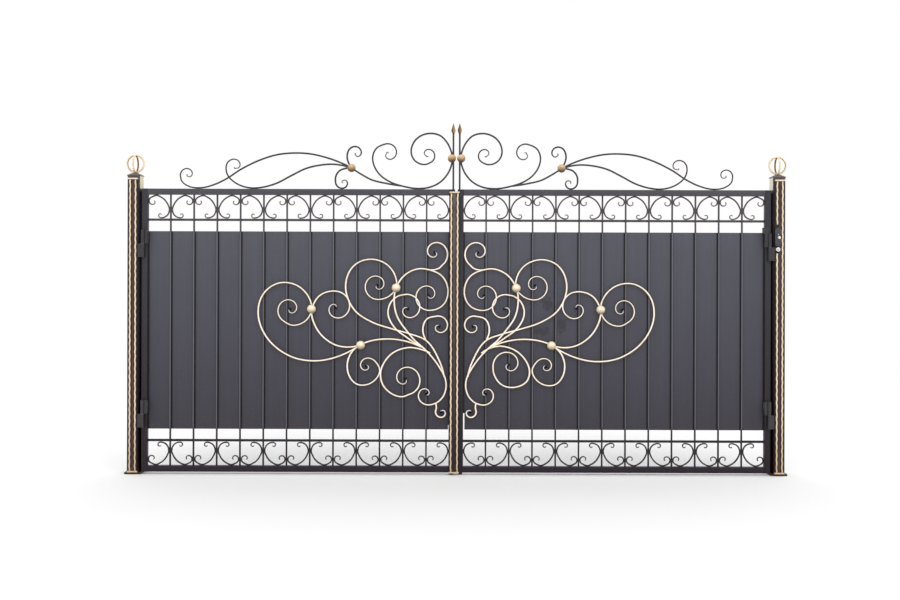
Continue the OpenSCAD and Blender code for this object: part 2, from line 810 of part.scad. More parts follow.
right_side() top_scrolls();  // right_leaf_top_scrolls
right_side() bottom_scrolls();  // right_leaf_bottom_scrolls
right_side() ornament() right_low_curl();  // right_leaf_ornament
right_side() ornament_dome_set();  // right_leaf_ornament_domes
right_side() crest();  // right_leaf_crest
right_side() crest_balls();  // right_leaf_crest_balls
right_side() spear();  // right_leaf_spear
right_side() leaf_hinges(right_hinge_z) hinge_stop();  // right_leaf_hinges
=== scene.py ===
import json
import math

import bmesh
import bpy
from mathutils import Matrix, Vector, noise


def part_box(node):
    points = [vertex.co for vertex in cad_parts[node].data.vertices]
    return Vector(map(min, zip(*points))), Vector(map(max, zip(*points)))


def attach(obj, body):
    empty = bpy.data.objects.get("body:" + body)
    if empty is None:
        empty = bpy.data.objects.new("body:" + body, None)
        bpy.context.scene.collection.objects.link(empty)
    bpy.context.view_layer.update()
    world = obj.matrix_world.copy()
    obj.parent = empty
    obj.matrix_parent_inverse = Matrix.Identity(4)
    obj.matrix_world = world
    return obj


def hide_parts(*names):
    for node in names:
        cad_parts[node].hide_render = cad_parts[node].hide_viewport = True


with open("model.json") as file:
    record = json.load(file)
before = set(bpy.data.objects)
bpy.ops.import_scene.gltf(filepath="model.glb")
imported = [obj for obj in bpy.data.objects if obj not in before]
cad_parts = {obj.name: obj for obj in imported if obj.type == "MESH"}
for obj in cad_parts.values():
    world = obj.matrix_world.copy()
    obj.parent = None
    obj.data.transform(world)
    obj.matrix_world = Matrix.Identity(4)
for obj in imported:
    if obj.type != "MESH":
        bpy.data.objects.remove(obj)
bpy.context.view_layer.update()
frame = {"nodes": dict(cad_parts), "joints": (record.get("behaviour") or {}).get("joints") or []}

nodes = frame["nodes"]
mm = 0.001
print("frame:", len(nodes), "nodes")


def addObject(name, data):
    obj = bpy.data.objects.new(name, data)
    bpy.context.scene.collection.objects.link(obj)
    return obj


def turns(count, start=0.0):
    # cosine and sine of count even steps round a circle
    return [(math.cos(a), math.sin(a)) for a in (start + 2 * math.pi * k / count for k in range(count))]


# Camera, at the height and distance of the photograph

cameraSetup = {
    "place": (2.058, -6.660, 1.318),  # metres
    "roll": -0.17,  # degrees
    "lens": 42.0, "sensor": 36.0,  # millimetres
    "shift": (-0.011, -0.038),
}


def addCamera(setup):
    data = bpy.data.cameras.new("viewCamera")
    data.lens = setup["lens"]
    data.sensor_width = setup["sensor"]
    data.shift_x, data.shift_y = setup["shift"]
    cam = addObject("viewCamera", data)
    cam.location = setup["place"]
    cam.rotation_euler = (math.radians(90), math.radians(setup["roll"]), 0)
    bpy.context.scene.camera = cam


addCamera(cameraSetup)


# Sizes that come from the frame

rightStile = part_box("right_leaf_meeting_stile")
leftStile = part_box("left_leaf_meeting_stile")
meetX = (leftStile[1][0] + rightStile[0][0]) / 2
innerStart = rightStile[1][0] - meetX  # inner side of a meeting stile, from the meeting line
leafTop = rightStile[1][2]
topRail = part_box("right_leaf_top_rail")
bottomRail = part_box("right_leaf_bottom_rail")
leafFront = topRail[0][1]
frameMidY = (leafFront + topRail[1][1]) / 2
innerEnd = topRail[1][0] - meetX
sides = {"left_leaf": -1, "right_leaf": 1}
posts = {"left_post": 0.0, "right_post": 2 * meetX}
barRow = {"count": 12, "size": 10.0}  # the upright bars of a leaf, in millimetres


# Wiring of materials

def linear(color):
    # an sRGB colour from 0 to 255, as Blender's linear one
    out = []
    for c in color:
        c = c / 255
        out.append(c / 12.92 if c <= 0.04045 else ((c + 0.055) / 1.055) ** 2.4)
    return (*out, 1.0)


class Wiring:
    # A node tree with short calls. A tuple put into a socket is an sRGB colour.

    def __init__(self, tree):
        self.tree = tree

    def node(self, kind, **settings):
        made = self.tree.nodes.new("ShaderNode" + kind)
        for name, value in settings.items():
            setattr(made, name, value)
        return made

    def put(self, value, socket):
        if isinstance(value, bpy.types.NodeSocket):
            self.tree.links.new(value, socket)
        elif isinstance(value, tuple):
            socket.default_value = linear(value)
        elif value is not None:
            socket.default_value = value

    def fill(self, node, **values):
        # the named inputs of a node, written in camelCase
        for socket in node.inputs:
            words = socket.name.split()
            key = words[0].lower() + "".join(words[1:])
            if key in values:
                self.put(values[key], socket)
        return node.outputs

    def split(self, vector):
        return self.fill(self.node("SeparateXYZ"), vector=vector)

    def remap(self, value, fromLow, fromHigh, toLow=0.0, toHigh=1.0, smooth=False):
        node = self.node("MapRange", interpolation_type="SMOOTHSTEP" if smooth else "LINEAR")
        for k, v in enumerate((value, fromLow, fromHigh, toLow, toHigh)):
            self.put(v, node.inputs[k])
        return node.outputs[0]

    def math(self, operation, a, b=0.0):
        node = self.node("Math", operation=operation)
        self.put(a, node.inputs[0])
        self.put(b, node.inputs[1])
        return node.outputs[0]

    def times(self, a, b):
        return self.math("MULTIPLY", a, b)

    def distance(self, a, b):
        return self.math("ABSOLUTE", self.math("SUBTRACT", a, b))

    def spread(self, noise, low, high):
        # the usual range of a noise, as a value from low to high
        return self.remap(noise, 0.3, 0.7, low, high)

    def between(self, value, low, lowFull, highFull, high):
        # 1 from lowFull to highFull, and 0 from low down and from high up
        return self.times(self.remap(value, low, lowFull), self.remap(value, high, highFull))

    def mixShaders(self, factor, a, b, output):
        node = self.node("MixShader")
        for k, value in enumerate((factor, a.outputs[0], b.outputs[0])):
            self.put(value, node.inputs[k])
        self.put(node.outputs[0], self.tree.nodes[output].inputs["Surface"])


class Paint(Wiring):
    # A material for the gate, with the places and directions that finishes depend on

    def __init__(self, name):
        self.material = bpy.data.materials.new(name)
        self.material.use_nodes = True
        super().__init__(self.material.node_tree)
        texture = self.node("TexCoord").outputs
        self.coords = texture["Object"]
        self.x, _, self.z = self.split(self.coords)
        _, normalY, self.normalZ = self.split(texture["Normal"])
        self.facing = self.times(normalY, -1)  # 1 where a face looks to the front of the gate
        self.dull = None  # where painted shade goes, which also takes the shine away

    def noise(self, scale, detail, roughness, stretch=None):
        source = self.coords
        if stretch:
            mapping = self.node("Mapping")
            mapping.inputs["Scale"].default_value = stretch
            source = self.fill(mapping, vector=source)[0]
        return self.fill(self.node("TexNoise"), vector=source, scale=scale, detail=detail,
                         roughness=roughness)["Fac"]

    def mix(self, factor, a, b):
        node = self.node("Mix", data_type="RGBA")
        for k, value in ((0, factor), (6, a), (7, b)):
            self.put(value, node.inputs[k])
        return node.outputs[2]

    def shade(self, color, value):
        # the colour times a number
        node = self.node("VectorMath", operation="SCALE")
        self.put(color, node.inputs[0])
        self.put(value, node.inputs["Scale"])
        return node.outputs[0]

    def darken(self, color, amount, least):
        # the colour where amount is 0, and least times the colour where it is 1
        return self.shade(color, self.remap(amount, 0.0, 1.0, 1.0, least))

    def attribute(self, name):
        return self.node("Attribute", attribute_name=name).outputs["Fac"]

    def bump(self, height, strength, distance, normal=None):
        return self.fill(self.node("Bump"), height=height, strength=strength, distance=distance,
                         normal=normal)[0]

    def finish(self, color, roughness, normal, metallic=0.0, specular=0.5):
        self.fill(self.tree.nodes["Principled BSDF"], baseColor=color, roughness=roughness, normal=normal,
                  metallic=metallic, specularIORLevel=specular)
        return self.material


# Satin graphite paint, mottled, streaked by rain and dusty at the foot. Noises are (scale, detail, roughness).

graphiteLook = {
    "top": (70, 68, 73), "foot": (22, 12, 25), "heights": (0.02, 1.35),
    "mottle": 0.08, "mottleNoise": (2.6, 6.0, 0.62), "streaks": 0.07, "streakStretch": (38, 38, 1.1),
    "roughness": 0.40, "specular": 0.30, "grain": (620, 3.0, 0.6), "wavy": 0.0, "waves": (2.2, 2.0, 0.4),
    "dust": (84, 66, 52), "dustTop": 0.06, "dustAmount": 0.12, "dustNoise": (17, 5.0, 0.7),
    "speck": (150, 148, 142), "specks": 0.35, "speckNoise": (210, 1.0, 0.3), "speckFrom": (0.755, 0.80),
}


def graphitePaint(name, extra=None, **changes):
    look = {**graphiteLook, **changes}
    w = Paint(name)
    color = w.mix(w.remap(w.z, *look["heights"]), look["foot"], look["top"])
    patches = w.noise(*look["mottleNoise"])
    color = w.shade(color, w.spread(patches, 1 - look["mottle"], 1 + look["mottle"]))
    runs = w.noise(1.0, 5.0, 0.6, look["streakStretch"])
    color = w.shade(color, w.remap(runs, 0.32, 0.68, 1 - look["streaks"], 1 + look["streaks"]))
    specular = look["specular"]
    if extra:
        color = extra(w, color)
        if w.dull is not None:
            specular = w.times(w.math("SUBTRACT", 1.0, w.dull), specular)
    low = w.times(w.remap(w.z, look["dustTop"], 0.0), w.remap(w.noise(*look["dustNoise"]), 0.35, 0.65))
    color = w.mix(w.times(low, look["dustAmount"]), color, look["dust"])
    dots = w.remap(w.noise(*look["speckNoise"]), *look["speckFrom"])
    color = w.mix(w.times(dots, look["specks"]), color, look["speck"])
    normal = w.bump(w.noise(*look["grain"]), 0.10, 0.0004)
    if look["wavy"]:
        normal = w.bump(w.noise(*look["waves"]), look["wavy"], 0.02, normal)
    roughness = w.spread(patches, look["roughness"] - 0.05, look["roughness"] + 0.09)
    return w.finish(color, roughness, normal, specular=specular)


# Gold brushed over the dark coat: it thins out on the sides of a bar, and the sides and undersides also get
# painted shade in a brown tone.
# The drawn tips are silvery and then black; the black end also stands for painted shade in the hollow of each eye

goldLook = {
    "pale": (255, 250, 240), "deep": (244, 226, 194), "patch": 34, "under": (94, 58, 30), "bare": 0.92,
    "edge": (0.91, 0.54), "underside": (-0.12, -0.54), "bothSides": False,
    "silver": (222, 218, 216), "silverFrom": (0.30, 0.65), "black": (10, 7, 9), "blackFrom": (0.74, 0.84),
    "roughness": 0.42, "metallic": 0.05, "specular": (0.5, 0.1),  # on the gold, on the black
    "dirt": (158, 118, 72), "dirtHeights": (0.45, 0.03), "dirtAmount": 0.0, "brush": (240, 3.0, 0.6),
}


def goldPaint(name, **changes):
    look = {**goldLook, **changes}
    w = Paint(name)
    patches = w.noise(look["patch"], 5.0, 0.65)
    color = w.mix(w.remap(patches, 0.38, 0.66), look["pale"], look["deep"])
    brush = w.noise(*look["brush"])
    color = w.shade(color, w.spread(brush, 0.94, 1.05))
    if look["dirtAmount"]:
        low = w.times(w.remap(w.z, *look["dirtHeights"]), look["dirtAmount"])
        color = w.mix(low, color, look["dirt"])
    tip = w.attribute("tip")
    color = w.mix(w.remap(tip, *look["silverFrom"]), color, look["silver"])
    facing = w.math("ABSOLUTE", w.facing) if look["bothSides"] else w.facing
    facing = w.math("ADD", facing, w.spread(patches, -0.08, 0.08))
    # where the gold thins out on the sides, and painted shade on the sides and undersides
    bare = w.math("MAXIMUM", w.remap(facing, *look["edge"]), w.remap(w.normalZ, *look["underside"]))
    color = w.mix(w.times(bare, look["bare"]), color, look["under"])
    # the black end: the dark drawn tip, and painted shade in the hollow of each eye
    black = w.remap(tip, *look["blackFrom"])
    color = w.mix(black, color, look["black"])
    roughness = w.spread(patches, look["roughness"] - 0.06, look["roughness"] + 0.10)
    return w.finish(color, roughness, w.bump(brush, 0.12, 0.0005), look["metallic"],
                    w.remap(black, 0.0, 1.0, *look["specular"]))


# Near black iron paint with silvery tips: a painted highlight, on their upward faces and in brush patches

ironLook = {
    "dark": (58, 46, 54), "grey": (88, 82, 84), "rub": 0.30, "rubNoise": (21, 5.0, 0.65),
    "silver": (184, 176, 172), "silverAmount": 0.0, "silverFrom": (0.25, 0.6),
    "roughness": 0.42, "brush": (260, 3.0, 0.6),
}


def ironPaint(name, **changes):
    look = {**ironLook, **changes}
    w = Paint(name)
    patches = w.noise(*look["rubNoise"])
    color = w.mix(w.remap(patches, 0.45, 0.72, 0.0, look["rub"]), look["dark"], look["grey"])
    brush = w.noise(*look["brush"])
    color = w.shade(color, w.spread(brush, 0.92, 1.08))
    tip = w.times(w.remap(w.attribute("tip"), *look["silverFrom"]), look["silverAmount"])
    # the painted highlight on the tips: on upward faces, and in brush patches
    lit = w.math("MAXIMUM", w.remap(w.normalZ, -0.1, 0.5), w.remap(brush, 0.62, 0.45))
    color = w.mix(w.times(tip, lit), color, look["silver"])
    roughness = w.spread(patches, look["roughness"] - 0.06, look["roughness"] + 0.10)
    return w.finish(color, roughness, w.bump(brush, 0.15, 0.0005))


def zincMetal(name, pale, dark, roughness):
    w = Paint(name)
    patches = w.noise(130, 4.0, 0.6)
    color = w.mix(w.remap(patches, 0.4, 0.66), pale, dark)
    normal = w.bump(w.noise(900, 2.0, 0.5), 0.1, 0.0003)
    return w.finish(color, w.spread(patches, roughness - 0.05, roughness + 0.1), normal, 0.7)


# The sheet has a soft waviness, painted shade lines beside the bars and, on the right leaf, three old smudges

sheetLook = {
    "top": (77, 77, 87), "foot": (54, 52, 61), "heights": (0.30, 1.50), "mottle": 0.045, "streaks": 0.05,
    "roughness": 0.46, "wavy": 0.10, "dustTop": 0.42, "dustAmount": 0.3,
}
# where the painted shade lies beside each bar
barShadeLook = {
    "inner": (-0.0135, -0.0105, -0.0045, -0.0030), "innerShade": 0.22,  # metres from the middle of a bar
    "outer": (0.0045, 0.0055, 0.0080, 0.0125), "outerShade": 0.60,
}
smudgeLook = {
    "tone": (46, 42, 48), "amount": 0.66, "rim": (1.15, 0.45), "ragged": 0.55, "noise": (46, 5.0, 0.75),
    "spots": [(2.616, 1.077, 0.042, 0.046), (2.576, 0.903, 0.062, 0.032),
              (2.702, 0.945, 0.032, 0.058)],  # x, z, half width and half height, in metres
}


def besideBars(w):
    # how far a point lies from the middle of the nearest bar, counted away from the meeting line
    start, end = (v[0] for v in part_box("right_leaf_bars"))
    size = barRow["size"] * mm
    pitch = (end - start - size) / (barRow["count"] - 1)
    fromFirst = w.math("ADD", w.distance(w.x, meetX), meetX - start - size / 2)
    pitchesAdded = 20.5  # the whole ones keep the number above 0, the half one puts a bar in the middle
    moved = w.math("ADD", fromFirst, pitchesAdded * pitch)
    return w.math("SUBTRACT", w.math("MODULO", moved, pitch), pitch / 2)


def shadeBesideBars(w, color):
    # painted shade: a dark line on the sheet down the inner side of every bar, and a softer one on its outer side
    off = besideBars(w)
    front = w.remap(w.facing, 0.4, 0.6)
    for way in ("inner", "outer"):
        color = w.darken(color, w.times(w.between(off, *barShadeLook[way]), front), barShadeLook[way + "Shade"])
    return color


def smudged(w, color):
    look = smudgeLook
    color = shadeBesideBars(w, color)
    ragged = w.spread(w.noise(*look["noise"]), -look["ragged"], look["ragged"])
    for x, z, wide, tall in look["spots"]:
        dx = w.math("DIVIDE", w.math("SUBTRACT", w.x, x), wide)
        dz = w.math("DIVIDE", w.math("SUBTRACT", w.z, z), tall)
        far = w.math("SQRT", w.math("ADD", w.times(dx, dx), w.times(dz, dz)))
        far = w.math("ADD", far, ragged)
        amount = w.times(w.remap(far, *look["rim"], 0.0, look["amount"], smooth=True), w.facing)
        color = w.mix(amount, color, look["tone"])
    return color


# Over the sheet a bar has a painted highlight along its outer half and painted shade along its inner edge

barLightLook = {
    "heights": (0.27, 0.30, 1.525, 1.535),  # metres
    "worn": (-0.0030, 0.0), "wornAmount": 0.42, "wornTone": (126, 126, 138),
    "grime": (-0.0020, -0.0038), "grimeShade": 0.35,
}


def barHighlightAndShade(w, color):
    off = besideBars(w)
    overSheet = w.between(w.z, *barLightLook["heights"])
    # painted highlight along the outer half, painted shade along the inner edge
    worn = w.times(w.remap(off, *barLightLook["worn"]), overSheet)
    color = w.mix(w.times(worn, barLightLook["wornAmount"]), color, barLightLook["wornTone"])
    grime = w.times(w.remap(off, *barLightLook["grime"]), overSheet)
    return w.darken(color, grime, barLightLook["grimeShade"])


# The side of a stile that faces its post gets painted shade, and loses its shine

stileSide = {"from": 36.5, "full": 37.5, "shade": 0.3}  # millimetres beyond the end of a rail


def paintedShadeOutside(w, color):
    far = w.distance(w.x, meetX)
    w.dull = w.remap(far, innerEnd + stileSide["from"] * mm, innerEnd + stileSide["full"] * mm)
    return w.darken(color, w.dull, stileSide["shade"])


# The inner side of each post is pale cream above the leaf. Below the leaf top its inner edge and side get painted
# shade, and lose their shine.

patchLook = {
    "margin": (0.030, 0.034), "marginShade": 0.25, "fade": 0.02,  # metres from the middle of the post
    "side": (0.0385, 0.0395), "ragged": 0.002, "edge": 0.001,
}


def palePatch(postX, facing, pale, shaded):
    look = patchLook

    def paint(w, color):
        inward = w.times(w.math("SUBTRACT", w.x, postX), facing)
        # painted shade on the post's inner edge and side, below the leaf top
        below = w.remap(w.z, leafTop + look["fade"], leafTop - look["fade"])
        w.dull = w.times(w.remap(inward, *look["margin"]), below)
        color = w.darken(color, w.dull, look["marginShade"])
        edge = w.math("ADD", w.z, w.spread(w.noise(60, 3.0, 0.6), -look["ragged"], look["ragged"]))
        above = w.remap(edge, leafTop - look["edge"], leafTop + look["edge"])
        cream = w.mix(w.noise(22, 3.0, 0.6), pale, shaded)
        return w.mix(w.times(w.remap(inward, *look["side"]), above), color, cream)
    return paint


# The dark backing between the gold strips, with a painted reflection line down its middle

backingLook = {
    "paint": {"top": (48, 38, 36), "foot": (34, 20, 24), "heights": (0.0, 1.9), "mottle": 0.12,
              "specks": 0.2, "specular": 0.22},
    "line": {  # half width in millimetres, tone, strength at the foot and at the head
        "pilaster": (8.0, (106, 80, 64), (0.50, 0.45)),
        "cover_strip": (11.0, (112, 105, 95), (0.05, 0.80)),
    },
    "between": (0.2, 1.7),  # metres, where the strength changes
}


def backingPaint(node, kind):
    halfWide, pale, amounts = backingLook["line"][kind]
    low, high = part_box(node)

    def reflectedMiddle(w, color):
        off = w.distance(w.x, (low[0] + high[0]) / 2)
        # a painted reflection down the middle of the strip, in patches
        line = w.remap(off, halfWide * mm, halfWide * 0.45 * mm, smooth=True)
        patch = w.remap(w.noise(9, 4.0, 0.6), 0.35, 0.6, 0.5, 1.0)
        amount = w.times(w.times(line, patch), w.remap(w.z, *backingLook["between"], *amounts))
        return w.mix(amount, color, pale)
    return graphitePaint(node + "Paint", reflectedMiddle, **backingLook["paint"])


graphite = graphitePaint("graphitePaint")
stilePaint = graphitePaint("stilePaint", paintedShadeOutside, top=(50, 49, 54), foot=(30, 21, 27), specular=0.25)
barPaint = graphitePaint("barPaint", barHighlightAndShade, top=(66, 64, 69), foot=(24, 15, 22))
capPaint = graphitePaint("capPaint", top=(98, 86, 82), foot=(98, 86, 82), mottle=0.14)
basePaint = graphitePaint("basePaint", top=(62, 44, 30), foot=(62, 44, 30), mottle=0.3, specular=0.12,
                          dustTop=0.02, dust=(84, 66, 40), dustAmount=0.6)
leftSheet = graphitePaint("leftSheetPaint", shadeBesideBars, **sheetLook)
rightSheet = graphitePaint("rightSheetPaint", smudged, **sheetLook)
hingePaint = ironPaint("hingePaint", dark=(36, 33, 38), grey=(66, 64, 70))
weldPaint = ironPaint("weldPaint", dark=(44, 41, 46), grey=(150, 148, 150), rub=0.9)
stemIron = ironPaint("stemIron", dark=(48, 30, 40), grey=(66, 52, 58))
crestIron = ironPaint("crestIron", dark=(44, 33, 40), grey=(76, 70, 72), silverAmount=0.35)
headIron = ironPaint("headIron", dark=(60, 48, 54), grey=(104, 98, 98), rub=0.6, silverAmount=0.4)
footIron = ironPaint("footIron", dark=(26, 15, 20), grey=(46, 34, 40), rub=0.4, silverAmount=0.12)
shadowBlack = ironPaint("shadowBlack", dark=(14, 12, 14), grey=(20, 18, 20))
ornamentGold = goldPaint("ornamentGold")
# on the domes and the balls the brown sides and undersides are painted shade
domeGold = goldPaint("domeGold", pale=(248, 236, 208), deep=(236, 214, 178), patch=60, bare=0.66,
                     edge=(0.55, 0.05), underside=(0.15, -0.75))
stripGold = goldPaint("stripGold", pale=(240, 224, 200), deep=(214, 188, 154), patch=48, bare=0.85,
                      edge=(0.90, 0.45), dirtAmount=0.45)
ballGold = goldPaint("ballGold", pale=(224, 192, 146), deep=(186, 150, 102), patch=26, bare=0.95,
                     under=(84, 56, 34), edge=(0.55, -0.10), underside=(0.40, -0.60), bothSides=True)
spearGold = goldPaint("spearGold", pale=(176, 144, 84), deep=(128, 98, 52), bare=0.0)
spearShade = goldPaint("spearShade", pale=(104, 74, 46), deep=(66, 46, 36), bare=0.0)
finialGold = goldPaint("finialGold", pale=(246, 226, 192), deep=(220, 186, 138), patch=40, bare=0.0,
                       silver=(176, 134, 92), black=(84, 56, 38))
boltZinc = zincMetal("boltZinc", (214, 214, 210), (150, 150, 150), 0.3)
wornSteel = zincMetal("wornSteel", (96, 97, 102), (60, 58, 62), 0.4)
boltWhite = zincMetal("boltWhite", (246, 246, 242), (214, 214, 210), 0.35)
print("materials:", len(bpy.data.materials))


# Meshes

class Shape:
    # Gathers corners and faces, and turns them into one piece

    def __init__(self):
        self.verts = []
        self.faces = []
        self.marks = []  # material index of each face
        self.tips = []

    def corner(self, x, y, z, tip=0.0):
        self.verts.append((x, y, z))
        self.tips.append(tip)
        return len(self.verts) - 1

    def face(self, corners, mark=0):
        self.faces.append(corners)
        self.marks.append(mark)

    def skin(self, rings, mark=0):
        # joins rings of corner numbers
        n = len(rings[0])
        for a, b in zip(rings, rings[1:]):
            for k in range(n):
                self.face((a[k], a[(k + 1) % n], b[(k + 1) % n], b[k]), mark)

    def solid(self, rings, mark=0):
        # a skin that is closed at both ends
        self.skin(rings, mark)
        self.face(tuple(reversed(rings[0])), mark)
        self.face(tuple(rings[-1]), mark)

    def piece(self, name, materials, body, slot, replaced=(), sharp=40):
        mesh = bpy.data.meshes.new(name)
        mesh.from_pydata(self.verts, [], self.faces)
        mesh.polygons.foreach_set("material_index", self.marks)
        if any(self.tips):
            values = mesh.attributes.new("tip", "FLOAT", "POINT")
            values.data.foreach_set("value", self.tips)
        turned = bmesh.new()
        turned.from_mesh(mesh)
        bmesh.ops.recalc_face_normals(turned, faces=turned.faces)
        turned.to_mesh(mesh)
        turned.free()
        for m in materials:
            mesh.materials.append(m)
        mesh.shade_smooth()
        mesh.set_sharp_from_angle(angle=math.radians(sharp))
        obj = addObject(name, mesh)
        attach(obj, body)
        if replaced:
            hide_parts(*replaced)


def roundedSection(halfWide, halfDeep, radius, steps=3):
    # corners of a bar's section, anticlockwise
    radius = min(radius, halfWide * 0.95, halfDeep * 0.95)
    ring = []
    for k, (u, v) in enumerate(((1, 1), (-1, 1), (-1, -1), (1, -1))):
        for s in range(steps + 1):
            a = math.radians(90 * (k + s / steps))
            ring.append((u * (halfWide - radius) + radius * math.cos(a),
                         v * (halfDeep - radius) + radius * math.sin(a)))
    return ring


def ovalSection(halfWide, halfDeep, count):
    return [(halfWide * c, halfDeep * s) for c, s in turns(count)]


# A bar drawn out by hand: what its depth loses at a tip, and how the tip is rounded, as (way out, size) in shares
# of its width
drawnBar = {"depthLoss": 0.25, "handNoise": 0.045, "end": [(0.0, 1.0), (0.30, 0.93), (0.46, 0.60)]}


def sweep(shape, line, look, place, side=1):
    # A bar bent along a line in the upright plane. line is in millimetres, place is its origin in metres.
    # look has bar, tip, depth and corner in millimetres, and may have both for a bar drawn out at both ends.
    lengths = [0.0]
    for a, b in zip(line, line[1:]):
        lengths.append(lengths[-1] + (b - a).length)
    total = lengths[-1]
    last = len(line) - 1
    rings = []
    for i, p in enumerate(line):
        along = (line[min(i + 1, last)] - line[max(i - 1, 0)]).normalized()
        share = lengths[i] / total
        if look.get("both"):
            share = abs(2 * share - 1)
        drawn = share ** 4
        wide = look["bar"] - (look["bar"] - look["tip"]) * drawn
        deep = look["depth"] * (1 - drawnBar["depthLoss"] * drawn)
        rate = drawnBar["handNoise"]
        wide *= 1 + look["hammered"] * noise.noise(Vector((p.x * rate, p.y * rate, look["bar"])))
        tip = max(0.0, 1 - (1 - share) * total / look["tipLength"])
        levels = [(0.0, 1.0)]
        if i == 0:
            levels = [(-push, size) for push, size in reversed(drawnBar["end"])]
        elif i == last:
            levels = drawnBar["end"]
        for push, size in levels:
            middle = p + along * push * wide
            across = Vector((-along.y, along.x))
            ring = []
            for u, v in barSection(look, wide * size / 2, deep * size / 2):
                q = middle + across * u
                ring.append(shape.corner(place[0] + side * q.x * mm, place[1] - v * mm, place[2] + q.y * mm,
                                         tip))
            rings.append(ring)
    shape.solid(rings)


def barSection(look, halfWide, halfDeep):
    if "oval" in look:
        return ovalSection(halfWide, halfDeep, look["oval"])
    return roundedSection(halfWide, halfDeep, look["corner"], look["steps"])


def spin(shape, profile, centre, axis="Z", steps=32, mark=0, squash=1.0):
    # Turns a profile of (radius, height) pairs in millimetres about an axis through centre, in metres
    rings = []
    for r, h in profile:
        ring = []
        for c, s in turns(steps):
            u, v = r * c, r * s * squash
            spot = (u, v, h) if axis == "Z" else (u, -h, v)
            ring.append(shape.corner(*(a + b * mm for a, b in zip(centre, spot))))
        rings.append(ring)
    shape.solid(rings, mark)


def sectionRing(shape, mid, half, axis, end, inset, radius, steps):
    # A rounded section across one axis, made smaller by inset
    u, v = [k for k in range(3) if k != axis]
    ring = []
    for a, b in roundedSection(half[u] - inset, half[v] - inset, radius, steps):
        spot = [end, end, end]
        spot[u], spot[v] = mid[u] + a, mid[v] + b
        ring.append(shape.corner(*spot))
    return ring


def block(shape, low, high, radius, mark=0, steps=2, axis=2):
    # A block with rounded edges along one axis and a small chamfer at its two ends
    low, high = Vector(low), Vector(high)
    mid, half = (low + high) / 2, (high - low) / 2
    chamfer = min(radius * 0.6, half[axis] * 0.4)
    rings = []
    for reach, inset in ((-half[axis], chamfer), (chamfer - half[axis], 0.0),
                         (half[axis] - chamfer, 0.0), (half[axis], chamfer)):
        rings.append(sectionRing(shape, mid, half, axis, mid[axis] + reach, inset, radius, steps))
    shape.solid(rings, mark)


def tube(shape, low, high, axis, wall, radius):
    # A hollow section with rounded corners, open at both ends
    low, high = Vector(low), Vector(high)
    mid, half = (low + high) / 2, (high - low) / 2
    rings = []
    for inset, end in ((0.0, low), (0.0, high), (wall, high), (wall, low)):
        rings.append(sectionRing(shape, mid, half, axis, end[axis], inset, radius - inset, 4))
    shape.skin(rings + rings[:1])


beadLook = {"step": 0.55, "ripple": 0.16, "rough": 0.22, "noise": 160, "end": 0.35, "steps": 8}


def weld(shape, start, end, radius):
    # A bead with the ripples that a hand weld leaves
    look = beadLook
    start, end = Vector(start), Vector(end)
    along = (end - start).normalized()
    u = along.cross(Vector((0, 1, 0))).normalized()
    v = along.cross(u)
    n = int((end - start).length / (radius * look["step"]))
    rings = []
    for i in range(n + 1):
        p = start + (end - start) * i / n
        swell = 1 + look["ripple"] * math.cos(i * 2.3) + look["rough"] * noise.noise(p * look["noise"])
        if i in (0, n):
            swell *= look["end"]
        spots = [p + (u * c + v * s) * radius * swell for c, s in turns(look["steps"])]
        rings.append([shape.corner(*spot) for spot in spots])
    shape.solid(rings)


# Scroll lines, as the ironwork is drawn: a stem through its knots, then an eye
# An eye is (middle, first radius, last radius, first angle, turn, how late it tightens)

stemSteps = 9  # from knot to knot
eyeStep = 7.0  # degrees
tipCurl = {"steps": 12, "perDegree": 1 / 400, "most": 0.55}  # how much of its last radius a tip tightens by


def polar(middle, r, degrees):
    a = math.radians(degrees)
    return Vector(middle) + r * Vector((math.cos(a), math.sin(a)))


def mirrorOver(v, c):
    return 2 * v.dot(c) * c - v


def lead(p, i, last):
    n = len(p) - 1

    def chord(k):
        return (p[k + 1] - p[k]).normalized()

    if i == n:
        return last if last else mirrorOver((chord(n - 2) + chord(n - 1)).normalized(), chord(n - 1))
    if i == 0:
        return mirrorOver(lead(p, 1, last if n > 1 or last else chord(0)), chord(0))
    return (chord(i - 1) + chord(i)).normalized()


def stemLine(knots, last=None):
    p = [Vector(k) for k in knots]
    line = []
    for i in range(len(p) - 1):
        a, b = p[i], p[i + 1]
        reach = (b - a).length
        for s in range(stemSteps):
            t = s / stemSteps
            line.append((2 * t ** 3 - 3 * t ** 2 + 1) * a + (t ** 3 - 2 * t ** 2 + t) * reach * lead(p, i, last)
                        + (3 * t ** 2 - 2 * t ** 3) * b + (t ** 3 - t ** 2) * reach * lead(p, i + 1, last))
    if last is None:
        line.append(p[-1])
    return line


def eyePoint(eye, t):
    middle, first, final, angle, turn, late = eye
    return polar(middle, first + (final - first) * t ** late, angle + turn * t)


def eyeLine(eye):
    n = math.ceil(abs(eye[4]) / eyeStep)
    return [eyePoint(eye, k / n) for k in range(n + 1)]


def eyeHeading(eye):
    return (eyePoint(eye, 0.02) - eyePoint(eye, 0)).normalized()


def scrollLine(knots, eye, curl):
    return stemLine(knots + [eyePoint(eye, 0)], eyeHeading(eye)) + eyeLine(eye) + curledTip(eye, curl)


def curledTip(eye, curl):
    # the drawn end goes on by curl degrees inside its eye, and tightens
    middle, _, final, angle, turn, _ = eye
    tighter = min(tipCurl["most"], curl * tipCurl["perDegree"])
    start, turn = angle + turn, math.copysign(curl, turn)
    shares = [(k + 1) / tipCurl["steps"] for k in range(tipCurl["steps"])]
    return [polar(middle, final * (1 - t * tighter), start + turn * t) for t in shares]


# Posts, stiles and rails, as rounded square tube

